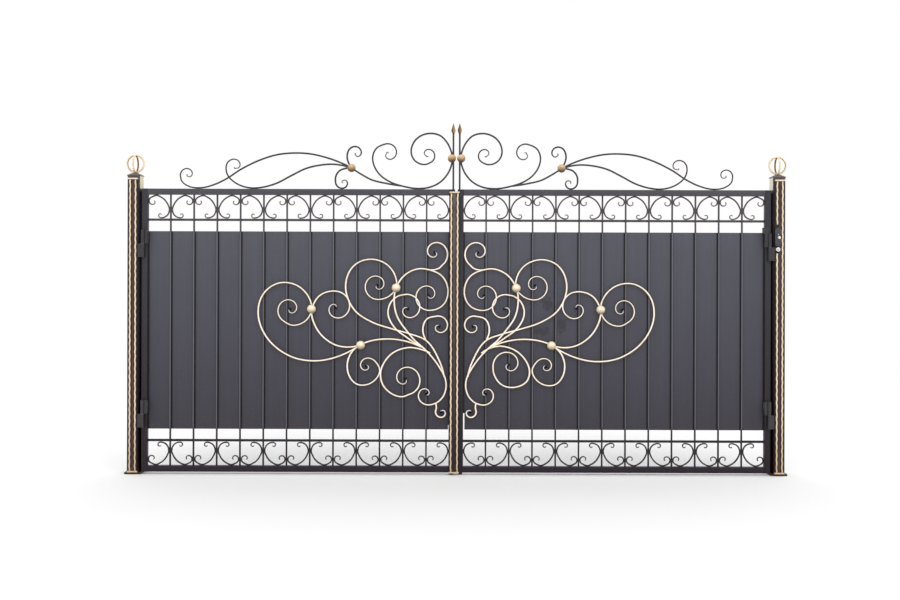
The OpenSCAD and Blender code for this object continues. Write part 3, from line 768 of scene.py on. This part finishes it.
tubeLook = {
    "postWall": 3.0, "postRadius": 6.0, "leafWall": 2.0, "leafRadius": 4.5,  # millimetres
    "capRadius": 2.0, "capThick": 2.0, "capPlay": 0.1, "footHalf": 14.0, "footIn": 1.0,
    "postPaint": {"top": (80, 77, 83), "foot": (34, 21, 26), "heights": (0.1, 1.5), "dustTop": 0.16,
                  "dust": (90, 70, 50)},
    "creams": {"left_post": ((228, 220, 194), (204, 196, 170)),
               "right_post": ((232, 228, 208), (210, 206, 184))},
}


def buildTubes():
    look = tubeLook
    for name, x in posts.items():
        s = Shape()
        tube(s, *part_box(name), 2, look["postWall"] * mm, look["postRadius"] * mm)
        facing = 1 if x == 0 else -1
        patch = palePatch(x, facing, *look["creams"][name])
        paint = graphitePaint(name + "Paint", patch, **look["postPaint"])
        s.piece(name + "_tube", [paint], "posts", "graphite_paint", [name])
    for leaf in sides:
        for part in ("hinge_stile", "meeting_stile"):
            node = f"{leaf}_{part}"
            low, high = (Vector(v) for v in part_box(node))
            foot = low.z
            low.z = bottomRail[0][2]
            s = Shape()
            tube(s, low, high, 2, look["leafWall"] * mm, look["leafRadius"] * mm)
            inset = Vector((1, 1, 0)) * (look["leafWall"] + look["capPlay"]) * mm
            thick = Vector((0, 0, look["capThick"] * mm))
            radius = look["capRadius"] * mm
            # welded caps close the top and the foot
            block(s, Vector((low.x, low.y, high.z)) + inset - thick, high - inset, radius)
            block(s, low + inset, Vector((high.x, high.y, low.z)) - inset + thick, radius)
            if part == "meeting_stile":
                # the foot under the plug
                mid = (low + high) / 2
                half = look["footHalf"] * mm
                block(s, (mid.x - half, mid.y - half, foot),
                      (mid.x + half, mid.y + half, low.z + look["footIn"] * mm), radius)
            s.piece(node + "_tube", [stilePaint], leaf, "graphite_paint", [node])
        for part in ("top_rail", "bottom_rail"):
            node = f"{leaf}_{part}"
            s = Shape()
            tube(s, *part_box(node), 0, look["leafWall"] * mm, look["leafRadius"] * mm)
            s.piece(node + "_tube", [graphite], leaf, "graphite_paint", [node])
    print("tubes: posts, stiles and rails")


buildTubes()


# Gold ornament. Points are from the inner side of the meeting stile and from the low dome, in millimetres.

ornamentLook = {"bar": 12.9, "tip": 6.2, "depth": 12.0, "corner": 6.0, "steps": 5, "tipLength": 150,
                "hammered": 0.05, "curl": 320}
ornamentScrolls = [
    ([(559, 0), (713, -78), (854, -101), (1000, -72), (1139, 34), (1202, 184), (1175, 314), (1080, 387),
      (971, 380), (891, 313), (866, 227), (901, 154), (982, 123)], ((1002, 224), 84, 8, 300, 380, 1.2)),
    ([(559, 0), (689, -8), (792, 50), (854, 146), (866, 227), (853, 259), (829, 297), (804, 318), (768, 334)],
     ((713, 236), 102.5, 8, 92, 380, 1.2)),
    ([(29, -196), (60, -96), (139, 26), (249, 72), (350, 100), (488, 146), (594, 219), (650, 344), (634, 451),
      (579, 516), (488, 541), (396, 511), (341, 442), (333, 362), (377, 309)],
     ((452, 376), 90, 8, 256, 430, 1.2)),
    ([(176, -11), (258, 81), (325, 179), (345, 274), (333, 362), (278, 442), (195, 481), (120, 474), (53, 444),
      (21, 405), (6, 356), (7, 316), (22, 273), (54, 239)], ((128, 313), 94, 8, 260, 380, 1.3)),
    ([(176, -11), (258, 44), (341, 109), (383, 194), (368, 266), (322, 308)],
     ((260, 229), 92, 8, 75, 340, 1.4)),
    ([(130, 476), (66, 484)], ((90, 584), 92, 8, -122, -420, 1.0)),
    ([(148, 40), (163, 109), (139, 164)], ((62, 119), 66, 8, 74, 340, 1.3)),
    ([(176, -11), (258, 21), (350, 37), (441, 35), (505, 22), (559, 0), (616, -51), (640, -126), (624, -201),
      (581, -246), (515, -250), (456, -211), (435, -159)], ((519, -134), 66, 9, -200, -360, 0.8)),
    ([(212, 26), (121, -57), (57, -141), (20, -215), (18, -279), (43, -335)],
     ((141, -308), 80, 8, 230, 360, 0.8)),
    ([(80, -372)], ((44, -421), 38, 10, 20, -260, 2.2)),
]
lowCurls = {
    "left_leaf": ([(121, -48), (189, -23), (258, -16), (350, -48), (409, -113), (430, -178), (414, -252),
                   (359, -307), (295, -326)], ((273, -216), 98, 8, -105, -390, 1.6)),
    "right_leaf": ([(117, -48), (173, -16), (247, -6), (339, -39), (404, -113), (418, -177), (395, -233),
                    (321, -265), (247, -251), (200, -196)], ((286, -123), 99, 8, -172, -380, 1.1)),
}
domeSpots = [(866, 227), (556, 0), (333, 362)]
domeLook = {"radius": 28.0, "sunk": 0.8, "rim": 1.0}


def buildOrnament():
    r, rim = domeLook["radius"], domeLook["rim"]
    dome = [(0.2, -rim), (r * 0.98, -rim), (r, 0.6)]
    dome += [(r * math.cos(a), r * math.sin(a)) for a in [math.radians(v) for v in range(6, 90, 6)]]
    dome.append((0.2, r * 0.9995))
    for leaf, side in sides.items():
        node = leaf + "_ornament"
        front, back = (v[1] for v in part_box(node))
        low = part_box(node + "_domes")[0][2] + r * mm
        place = (meetX + side * innerStart, (front + back) / 2, low)
        s = Shape()
        for knots, eye in ornamentScrolls + [lowCurls[leaf]]:
            sweep(s, scrollLine(knots, eye, ornamentLook["curl"]), ornamentLook, place, side)
        s.piece(node + "_bars", [ornamentGold], leaf, "pale_gold_paint", [node], sharp=55)
        s = Shape()
        for x, z in domeSpots:
            spin(s, dome, (place[0] + side * x * mm, front + domeLook["sunk"] * mm, low + z * mm), "Y", 40)
        s.piece(node + "_half_balls", [domeGold], leaf, "pale_gold_paint", [node + "_domes"], sharp=50)
    print("ornament: scrolls and domes")


buildOrnament()


# Bands of C scrolls between the rails, one in each bay

bandLook = {"bar": 9.4, "tip": 6.4, "depth": 9.8, "corner": 2.6, "steps": 3, "tipLength": 150, "both": True,
            "hammered": 0.06}
bandSetup = {"height": 150.0, "seat": 4.2}


def bandLine(bay):
    tall, edge = bandSetup["height"], bandSetup["seat"]
    bigEye = ((bay - edge - 25.5, 42), 28, 8, -65, 265, 1.5)
    smallEye = ((60, tall - edge - 16), 16, 8, 105, -230, 1.0)
    back = [(20, 0.88 * tall), (edge, 0.63 * tall), (13, 0.43 * tall), (34, 0.22 * tall), (58, 0.10 * tall),
            (86, edge + 0.6)]
    knots = [eyePoint(smallEye, 0)] + back + [eyePoint(bigEye, 0)]
    return eyeLine(smallEye)[:0:-1] + stemLine(knots, eyeHeading(bigEye)) + eyeLine(bigEye)


def buildBands():
    count, size = barRow["count"], barRow["size"]
    start, end = innerStart / mm, innerEnd / mm
    bay = (end - start - count * size) / (count + 1)
    line = bandLine(bay)
    for leaf, side in sides.items():
        for part, way, z, iron in (("bottom_scrolls", 1, bottomRail[1][2], footIron),
                                   ("top_scrolls", -1, topRail[0][2], headIron)):
            node = f"{leaf}_{part}"
            front, back = (v[1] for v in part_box(node))
            s = Shape()
            for b in range(count + 1):
                bayStart = start + b * (bay + size)
                moved = [Vector((bayStart + (bay - p.x if b % 2 else p.x), way * p.y)) for p in line]
                sweep(s, moved, bandLook, (meetX, (front + back) / 2, z), side)
            s.piece(node + "_bars", [iron], leaf, "dark_iron_paint", [node], sharp=50)
    print("bands: scrolls in", count + 1, "bays")


buildBands()


# Crest above the top rail. Points are from the meeting line and from the middle of a bar on the rail.

crestLook = {"bar": 11.0, "tip": 6.6, "depth": 10.6, "corner": 3.2, "steps": 3, "tipLength": 90,
             "hammered": 0.05, "curl": 150}
crestStemLook = {**crestLook, "tip": 11.0, "tipLength": 1}
crestScrolls = [
    ([(28, 210), (33, 232), (61, 292), (106, 336), (178, 348), (241, 324), (278, 278), (286, 220), (260, 173),
      (207, 152)], ((184, 207), 46, 8, -120, -235, 4.0)),
    ([(29, 173), (34, 143), (57, 92), (103, 41), (168, 9), (250, 0), (341, 15), (419, 41), (483, 85),
      (521, 143), (530, 201), (508, 252)], ((435, 223), 60, 8, 70, 270, 2.5)),
    ([(668, 135), (686, 170), (692, 200)], ((636, 217), 52, 8, 25, 250, 1.6)),
    ([(672, 129), (700, 126), (738, 112), (762, 79)], ((716, 40), 49, 10, 0, -260, 1.3)),
    ([(664, 129), (740, 165), (830, 196), (932, 218), (1034, 222), (1135, 211), (1246, 176), (1367, 116),
      (1450, 61), (1530, 22), (1615, 1), (1692, 10), (1738, 44)], ((1699, 81), 47, 8, -15, 265, 2.0)),
    ([(664, 129), (765, 151), (849, 148), (951, 125), (1043, 80), (1135, 32), (1228, 5), (1311, 2), (1388, 27),
      (1445, 78)], ((1400, 130), 57, 8, 5, 205, 2.5)),
]
crestLink = [(353, 17), (456, 34), (533, 53), (585, 79), (664, 129)]
ballSpots = [(29.5, 191), (664, 129)]
ballLook = {"radius": 26.5, "seam": 0.5}


def buildCrest():
    foot = leafTop + (crestLook["bar"] / 2 + 0.2) * mm
    place = (meetX, frameMidY, foot)
    r = ballLook["radius"]
    ball = [(0.2, -r)]
    for v in range(-84, 90, 6):
        dent = ballLook["seam"] if v == 0 else 0.0
        ball.append(((r - dent) * math.cos(math.radians(v)), r * math.sin(math.radians(v))))
    ball.append((0.2, r))
    for leaf, side in sides.items():
        s = Shape()
        for knots, eye in crestScrolls:
            sweep(s, scrollLine(knots, eye, crestLook["curl"]), crestLook, place, side)
        sweep(s, stemLine(crestLink), crestStemLook, place, side)
        s.piece(leaf + "_crest_bars", [crestIron], leaf, "dark_iron_paint", [leaf + "_crest"], sharp=50)
        s = Shape()
        for x, z in ballSpots:
            spin(s, ball, (meetX + side * x * mm, frameMidY, foot + z * mm), steps=40)
        s.piece(leaf + "_crest_ball_shells", [ballGold], leaf, "dull_gold_paint", [leaf + "_crest_balls"],
                sharp=60)
    print("crest: scrolls and balls")


buildCrest()


# Spears at the meeting line: a square stem, a small collar and a flat head with a ridge

spearLook = {
    "stem": 11.6, "stemRadius": 1.4, "overlap": 3.0,  # millimetres
    "collar": [(0.5, 0), (6.88, 0), (8.0, 2), (6.88, 4), (0.5, 4)], "squash": 0.85,
    "head": (65.0, 26.5, 13.0),  # length, width, depth
    "outline": [(1, 0), (0.45, 0.46), (0, 1), (-0.45, 0.46), (-1, 0), (-0.45, -0.46), (0, -1), (0.45, -0.46)],
    "levels": [(0.0, 0.40), (0.04, 0.56), (0.10, 0.78), (0.18, 0.96), (0.26, 1.0), (0.36, 0.94), (0.48, 0.78),
               (0.60, 0.60), (0.72, 0.43), (0.84, 0.27), (0.93, 0.14), (1.0, 0.03)],
}


def buildSpears():
    look = spearLook
    length, width, depth = (v * mm for v in look["head"])
    overlap, half = look["overlap"] * mm, look["stem"] / 2 * mm
    for leaf in sides:
        node = leaf + "_spear"
        low, high = (Vector(v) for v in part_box(node))
        x, y = (low.x + high.x) / 2, (low.y + high.y) / 2
        foot = high.z - length
        s = Shape()
        block(s, (x - half, y - half, low.z), (x + half, y + half, foot + overlap), look["stemRadius"] * mm,
              mark=2)
        spin(s, look["collar"], (x, y, foot - overlap), steps=24, mark=2, squash=look["squash"])
        rings = []
        for share, wide in look["levels"]:
            w, t = wide * width / 2, wide * depth / 2
            rings.append([s.corner(x + a * w, y + b * t, foot + share * length) for a, b in look["outline"]])
        for a, b in zip(rings, rings[1:]):
            for k in range(8):
                shaded = 2 <= k <= 5  # the left half of the head
                s.face((a[k], a[(k + 1) % 8], b[(k + 1) % 8], b[k]), 1 if shaded else 0)
        s.face(tuple(reversed(rings[0])))
        s.face(tuple(rings[-1]))
        s.piece(node + "_forged", [spearGold, spearShade, stemIron], leaf, "dull_gold_paint", [node], sharp=24)
    print("spears")


buildSpears()


# Gold trim: wavy strips and collars on the posts and on the cover strip

trimLook = {"bar": 10.0, "tip": 10.0, "depth": 5.8, "oval": 16, "tipLength": 1, "hammered": 0.06}
trimSetup = {
    "swing": 1.2, "wave": 51.0, "postX": 17.0, "coverX": 20.0, "collar": 11.0, "collarRadius": 2.5,
    "bare": (1402.5, 1586.5),  # where the bracket takes the place of the right post's left strip
}


def waveLine(x, low, high):
    swing, wave = trimSetup["swing"], trimSetup["wave"]
    n = int((high - low) / wave * 10)
    line = []
    for k in range(n + 1):
        z = low + (high - low) * k / n
        line.append(Vector((x + swing * math.sin(2 * math.pi * (z - low) / wave + math.pi / 4), z)))
    return line


def buildTrim():
    tall, bare = trimSetup["collar"], trimSetup["bare"]
    for node, body, backing, off in (
            ("left_post_gold_trim", "posts", "left_post_pilaster", trimSetup["postX"]),
            ("right_post_gold_trim", "posts", "right_post_pilaster", trimSetup["postX"]),
            ("left_leaf_cover_trim", "left_leaf", "left_leaf_cover_strip", trimSetup["coverX"])):
        low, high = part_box(node)
        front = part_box(backing)[0][1]
        place = ((low[0] + high[0]) / 2, front - trimLook["depth"] / 2 * mm, 0)
        foot, head = low[2] / mm + tall, high[2] / mm - tall
        s = Shape()
        for way in (-1, 1):
            runs = [(foot, head)]
            if node == "right_post_gold_trim" and way == -1:
                runs = [(foot, bare[0]), (bare[1], head)]
            for a, b in runs:
                sweep(s, waveLine(way * off, a, b), trimLook, place)
        for z in (low[2], high[2] - tall * mm):
            block(s, (low[0], low[1], z), (high[0], high[1], z + tall * mm), trimSetup["collarRadius"] * mm,
                  steps=3, axis=0)
        s.piece(node + "_strips", [stripGold], body, "pale_gold_paint", [node], sharp=50)
    print("gold trim")


buildTrim()


# Finials: two bent rings of round bar that cross at the top and at the cap

finialLook = {"bar": 11.4, "around": 72, "section": 12}


def buildFinials():
    small = finialLook["bar"] / 2 * mm
    for post in posts:
        node = post + "_finial"
        low, high = (Vector(v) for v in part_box(node))
        mid = (low + high) / 2
        large = (high.x - low.x) / 2 - small
        s = Shape()
        for turned in (False, True):
            rings = []
            for along, up in turns(finialLook["around"]):
                ring = []
                for out, across in turns(finialLook["section"]):
                    r = large + small * out
                    u, v = r * along, small * across
                    spot = Vector((v, u, r * up) if turned else (u, v, r * up))
                    # the inner side of a ring is marked to turn brown
                    ring.append(s.corner(*(mid + spot), tip=max(0.0, -out)))
                rings.append(ring)
            s.skin(rings + rings[:1])
        s.piece(node + "_rings", [finialGold], "posts", "cream_gold_paint", [node], sharp=60)
    print("finials")


buildFinials()


# Hinges: worn bearing rims at the gap, a pin head on top, and weld beads down the plates

hingeLook = {  # millimetres
    "heights": {"left_leaf": (296, 1367), "right_leaf": (296, 1354)},  # undersides
    "tall": 172.0, "half": 85.5, "bore": 7.2, "rim": (12.3, 3.0),
    "head": [(0.2, 0), (9.5, 0), (9.5, 1.2), (7.6, 2.6), (0.2, 3)],
    "weld": 2.4, "plate": 29.5, "spacer": (-30.0, 8.0),
}


def buildHinges():
    look = hingeLook
    axes = {joint["child"]: joint["pos_m"] for joint in frame["joints"]}
    bore, (rim, rimTall) = look["bore"], look["rim"]
    weldY = leafFront - look["weld"] * 0.3 * mm
    for leaf, side in sides.items():
        post = leaf.replace("leaf", "post")
        x, y, _ = axes[leaf]
        fixedRims, movingRims, heads, postWelds, leafWelds = (Shape() for _ in range(5))

        def bead(shape, reach, low, high):
            edge = x + side * reach * mm
            weld(shape, (edge, weldY, low * mm), (edge, weldY, high * mm), look["weld"] * mm)

        for z in look["heights"][leaf]:
            top = z + look["tall"]
            fixedTop, movingFoot = z + look["half"], top - look["half"]
            for shape, low, high in ((fixedRims, fixedTop - rimTall, fixedTop),
                                     (movingRims, movingFoot, movingFoot + rimTall)):
                spin(shape, [(bore, low), (rim, low), (rim, high), (bore, high)], (x, y, 0))
            spin(heads, look["head"], (x, y, top * mm))
            bead(postWelds, look["plate"], z + 3, fixedTop - 3)
            for reach in look["spacer"]:
                bead(leafWelds, reach, fixedTop + 4, top - 3)
        fixedRims.piece(post + "_hinge_rims", [wornSteel], "posts", "hinge_paint")
        movingRims.piece(leaf + "_hinge_rims", [wornSteel], leaf, "hinge_paint")
        heads.piece(leaf + "_hinge_heads", [hingePaint], leaf, "hinge_paint")
        postWelds.piece(post + "_hinge_welds", [weldPaint], "posts", "hinge_paint", sharp=80)
        leafWelds.piece(leaf + "_hinge_welds", [weldPaint], leaf, "hinge_paint", sharp=80)
    print("hinges")


buildHinges()


# Bracket at the right upper hinge: two small holes and a white bolt in the plate, a zinc bolt on the boss

bracketLook = {  # millimetres
    "plateFront": -60.2, "bossFront": -62.2,
    "holes": [(4048, 1518.5), (4070.5, 1518.5)], "hole": [(0.1, 0), (4, 0), (4, 0.25), (0.1, 0.3)],
    "nubPlace": (4059.5, 1519.5), "nub": [(0.1, 0), (3.5, 0), (3.5, 2), (2.45, 3), (0.1, 3.2)],
    "boltPlace": (4066, 1501.5),
    "bolt": [(0.1, 0), (9.5, 0), (9.5, 1), (8.74, 2.6), (6.65, 4.2), (3.325, 5.2), (0.1, 5.5)],
    "bossPlace": (4058, 1426.5), "washer": [(6.5, 0), (13, 0), (13, 0.8), (12.09, 1.4), (6.5, 1.4)],
    "hex": {"radius": 8.06, "tall": 5.0, "turn": 12, "sunk": 0.5},
}


def hexHead(shape, look, x, z, front, mark):
    # a bolt head that looks towards -Y, with its corners rounded off
    rings = []
    for size, out in ((1.0, 0.0), (1.0, 0.75), (0.86, 1.0)):
        r, y = look["radius"] * size * mm, front - out * look["tall"] * mm
        corners = turns(6, math.radians(look["turn"]))
        rings.append([shape.corner(x + r * c, y, z + r * s) for c, s in corners])
    shape.solid(rings, mark)


def buildBracket():
    look = bracketLook
    plate, boss = look["plateFront"] * mm, look["bossFront"] * mm
    holes, bolts, washer = Shape(), Shape(), Shape()
    # each hole is a thin disc in shadow black: painted shade
    for x, z in look["holes"]:
        spin(holes, look["hole"], (x * mm, plate, z * mm), "Y", 24)
    for part, steps, mark in (("nub", 24, 1), ("bolt", 32, 0)):
        x, z = look[part + "Place"]
        spin(bolts, look[part], (x * mm, plate, z * mm), "Y", steps, mark)
    x, z = (v * mm for v in look["bossPlace"])
    spin(washer, look["washer"], (x, boss, z), "Y", 36)
    hexHead(washer, look["hex"], x, z, boss - look["hex"]["sunk"] * mm, mark=1)
    holes.piece("right_bracket_holes", [shadowBlack], "posts", "hinge_paint")
    bolts.piece("right_bracket_bolts", [boltWhite, boltZinc], "posts", "hinge_paint", sharp=45)
    washer.piece("right_boss_bolt", [boltWhite, boltZinc], "posts", "hinge_paint", sharp=35)
    print("bracket")


buildBracket()


# Dark strips in shadow black that close the slits between the sheets and the meeting stiles, nearly down to the
# sheet's foot: painted shade in the slits

stripSetup = {
    "foot": {"left_leaf": 0.31, "right_leaf": 0.385},  # metres
    "thick": 1.0, "behind": 2.0, "lap": 2.0, "radius": 0.3,  # millimetres
}


def buildEdgeStrips():
    setup = stripSetup
    for leaf, side in sides.items():
        sheetLow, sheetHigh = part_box(leaf + "_sheet")
        edge = sheetLow[0] if side == 1 else sheetHigh[0]
        low, high = sorted((meetX + side * innerStart, edge + side * setup["lap"] * mm))
        back = sheetHigh[1] + setup["behind"] * mm
        s = Shape()
        block(s, (low, back - setup["thick"] * mm, setup["foot"][leaf]), (high, back, sheetHigh[2]),
              setup["radius"] * mm)
        s.piece(leaf + "_sheet_edge", [shadowBlack], leaf, "graphite_paint")
    print("sheet edges")


buildEdgeStrips()


# Finish of the nodes that stay as they are: paint by a word in the name, and softened edges in millimetres

nodePaints = {"left_leaf_sheet": leftSheet, "right_leaf_sheet": rightSheet, "hinges": hingePaint,
              "base": basePaint, "cap": capPaint, "bars": barPaint}
bevels = {"bars": 0.9, "thin_rails": 1.2, "post_base": 2.0, "post_cap": 1.6, "pilaster": 0.7,
          "cover_strip": 0.7, "bracket": 1.2, "hinges": 0.9, "sheet": 0.3}


def dressNode(name, obj):
    material = graphite
    for word, paint in nodePaints.items():
        if word in name:
            material = paint
    for kind in backingLook["line"]:
        if kind in name:
            material = backingPaint(name, kind)
    obj.data.materials.clear()
    obj.data.materials.append(material)
    for word, width in bevels.items():
        if word in name:
            edge = obj.modifiers.new("softEdges", "BEVEL")
            edge.width = width * mm
            edge.segments = 2
            edge.limit_method = "ANGLE"
            edge.angle_limit = math.radians(50)
            edge.harden_normals = True


for name, obj in nodes.items():
    if not obj.hide_render:
        dressNode(name, obj)
print("nodes dressed")


# Floor, background and light. The floor fades to white from clear to faded, in metres from the gate.

stageLook = {
    "floor": (0.80, 0.80, 0.80, 1), "floorRoughness": 0.9, "reach": 40, "clear": 3.2, "faded": 8.5,
    "sky": 1.45, "horizon": 0.62, "sun": 0.9, "sunAngle": 70, "sunTurn": (42, 0, 14),  # degrees
}


def seenByCamera(w):
    # 1 for the rays that a viewer sees, straight or in a mirror or through glass
    path = w.node("LightPath").outputs
    seen = w.math("MAXIMUM", path["Is Camera Ray"], path["Is Glossy Ray"])
    return w.math("MAXIMUM", seen, path["Is Transmission Ray"])


def buildStage():
    mesh = bpy.data.meshes.new("floor")
    r = stageLook["reach"]
    mesh.from_pydata([(-r, -r, 0), (r, -r, 0), (r, r, 0), (-r, r, 0)], [], [(0, 1, 2, 3)])
    floor = addObject("floor", mesh)
    material = bpy.data.materials.new("paleFloor")
    material.use_nodes = True
    w = Wiring(material.node_tree)
    shader = w.tree.nodes["Principled BSDF"]
    shader.inputs["Base Color"].default_value = stageLook["floor"]
    shader.inputs["Roughness"].default_value = stageLook["floorRoughness"]
    away = w.node("VectorMath", operation="DISTANCE")
    away.inputs[1].default_value = (meetX, 0, 0)
    w.put(w.node("TexCoord").outputs["Object"], away.inputs[0])
    fade = w.remap(away.outputs["Value"], stageLook["clear"], stageLook["faded"], smooth=True)
    w.mixShaders(w.times(fade, seenByCamera(w)), shader, w.node("Emission"), "Material Output")
    mesh.materials.append(material)


def buildLight():
    world = bpy.data.worlds.new("softStudio")
    bpy.context.scene.world = world
    world.use_nodes = True
    w = Wiring(world.node_tree)
    sky, plain = w.tree.nodes["Background"], w.node("Background")
    height = w.split(w.node("TexCoord").outputs["Generated"])[2]
    w.put(w.remap(height, 0.0, 1.0, stageLook["horizon"], stageLook["sky"]), sky.inputs["Strength"])
    w.mixShaders(seenByCamera(w), sky, plain, "World Output")
    for node in (sky, plain):
        node.inputs["Color"].default_value = (1, 1, 1, 1)
    data = bpy.data.lights.new("softSun", "SUN")
    data.energy = stageLook["sun"]
    data.angle = math.radians(stageLook["sunAngle"])
    lamp = addObject("softSun", data)
    lamp.rotation_euler = [math.radians(v) for v in stageLook["sunTurn"]]


buildStage()
buildLight()
bpy.context.scene.view_settings.view_transform = "Standard"
print("stage and light")
